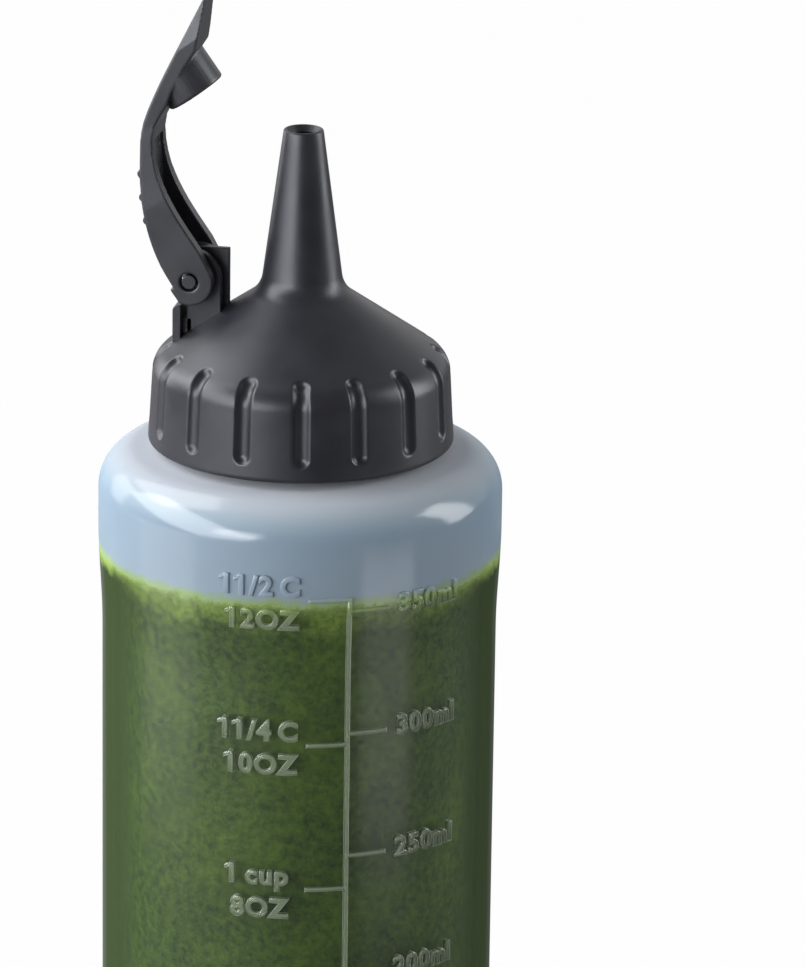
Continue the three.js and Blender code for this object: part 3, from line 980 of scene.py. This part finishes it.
def build_floor():
    """A grey floor that the camera sees as nearly white, with the object's shadow on it."""
    mesh = bpy.data.meshes.new("floor")
    corners = [(-1, -1), (1, -1), (1, 1), (-1, 1)]
    points = [(x * FLOOR_HALF, y * FLOOR_HALF, 0) for x, y in corners]
    mesh.from_pydata(points, [], [(0, 1, 2, 3)])
    floor = add_object("floor", mesh)
    s = Shader(bpy.data.materials.new("floor"))
    grey = s.principled(Base_Color=(0.15, 0.15, 0.155, 1), Roughness=0.9)
    glow = s.add("ShaderNodeEmission")
    s.fill(glow, Color=(1, 1, 1, 1))
    path = s.add("ShaderNodeLightPath")
    seen = s.math("MAXIMUM", path.outputs["Is Camera Ray"], path.outputs["Is Transmission Ray"])
    share = s.math("MULTIPLY", seen, FLOOR_GLOW)
    give(floor, s.made(s.layer(share, grey, glow.outputs["Emission"])))


def build_world():
    """A white backdrop for the camera; for the light, a room that is darker in front and overhead."""
    s = Shader(bpy.data.worlds.new("studio"), "ShaderNodeOutputWorld")
    direction = s.add("ShaderNodeTexCoord").outputs["Generated"]
    room = s.spread(s.part_of(direction, "Y"), -0.5, 0.8, ROOM_FRONT, ROOM_BEHIND)
    ceiling = s.spread(s.part_of(direction, "Z"), 0.1, 0.8, LOW_SHARE, OVERHEAD_SHARE)
    seen = s.add("ShaderNodeLightPath").outputs["Is Camera Ray"]
    background = s.add("ShaderNodeBackground")
    strength = s.mix(seen, s.math("MULTIPLY", room, ceiling), 1, "FLOAT")
    s.fill(background, Color=(1, 1, 1, 1), Strength=strength)
    bpy.context.scene.world = s.made(background.outputs["Background"])


def softbox(name, place, target, size, power, roll=0):
    """A rectangular lamp that faces its target, rolled about that line by degrees."""
    light = bpy.data.lights.new(name, "AREA")
    light.shape = "RECTANGLE"
    light.size, light.size_y = size
    light.energy = power
    lamp = add_object(name, light)
    lamp.location = place
    aim = (Vector(target) - Vector(place)).to_track_quat("-Z", "Y").to_matrix()
    lamp.rotation_euler = (aim @ Matrix.Rotation(math.radians(roll), 3, "Z")).to_euler()


def around(bearing, distance, height):
    """A place at a bearing in degrees to the right of the camera, seen from the bottle."""
    angle = CAMERA_TURN + math.radians(bearing - 90)
    return (distance * math.cos(angle), distance * math.sin(angle), height)


def build_lights():
    """Softboxes round the object, and two small panels that light the foot of the body."""
    middle = (0, 0, 0.14)
    softbox("left_softbox", around(-68, 1.1, 0.50), middle, (2.3, 0.7), power=33, roll=-28)
    softbox("right_softbox", around(97, 1.1, 0.44), middle, (0.45, 0.9), power=9, roll=18)
    softbox("far_left_softbox", around(-128, 0.9, 0.30), middle, (0.4, 0.5), power=2.6)
    softbox("upper_left_softbox", around(-115, 0.75, 1.0), middle, (0.9, 0.7), power=8)
    softbox("front_softbox", around(-34, 1.3, 0.40), middle, (0.6, 0.35), power=4)
    softbox("near_left_panel", around(-78, 0.26, 0.06), (0, 0, 0.06), (0.19, 0.1), power=0.072)
    softbox("near_right_panel", around(50, 0.24, 0.045), (0, 0, 0.045), (0.13, 0.07), power=0.045)


def build_camera():
    """The photograph's camera: pitched and rolled first, then turned about the bottle's axis."""
    camera = bpy.data.cameras.new("camera")
    camera.sensor_fit = "AUTO"
    camera.sensor_width = SENSOR_WIDTH
    camera.lens = SENSOR_WIDTH * FOCAL_PIXELS / IMAGE_HEIGHT
    camera.clip_end = 30
    eye = add_object("camera", camera)
    forward = Vector((0, math.cos(CAMERA_PITCH), -math.sin(CAMERA_PITCH)))
    level = Vector((1, 0, 0))
    upright = level.cross(forward)
    right = math.cos(CAMERA_ROLL) * level + math.sin(CAMERA_ROLL) * upright
    up = -math.sin(CAMERA_ROLL) * level + math.cos(CAMERA_ROLL) * upright
    turned = Matrix((right, up, -forward)).transposed().to_4x4()
    turned.translation = Vector(CAMERA_PLACE) * MM
    eye.matrix_world = Matrix.Rotation(CAMERA_TURN, 4, "Z") @ turned
    bpy.context.scene.camera = eye


# Scene

build_camera()
build_world()
build_lights()
build_floor()

give(build_bottle(), bottle_plastic())
raised = raised_plastic()
for part in (build_scale(), build_words()):
    give(part, raised)
give(build_sauce(), green_sauce())
give(build_cap(), black_plastic("cap_plastic", (0.010, 0.010, 0.014), (0.014, 0.014, 0.019)))
# The lever and bracket take the cap's black plastic painted lighter, standing in for the light they catch
lever_plastic_painted_lighter = black_plastic("lever_plastic_painted_lighter", (0.018, 0.018, 0.022), (0.024, 0.024, 0.029))
for part in (build_bracket(), build_lever()):
    give(part, lever_plastic_painted_lighter)
give(nodes["sealing_ring"], seal_rubber())

bpy.context.scene.view_settings.view_transform = "Standard"
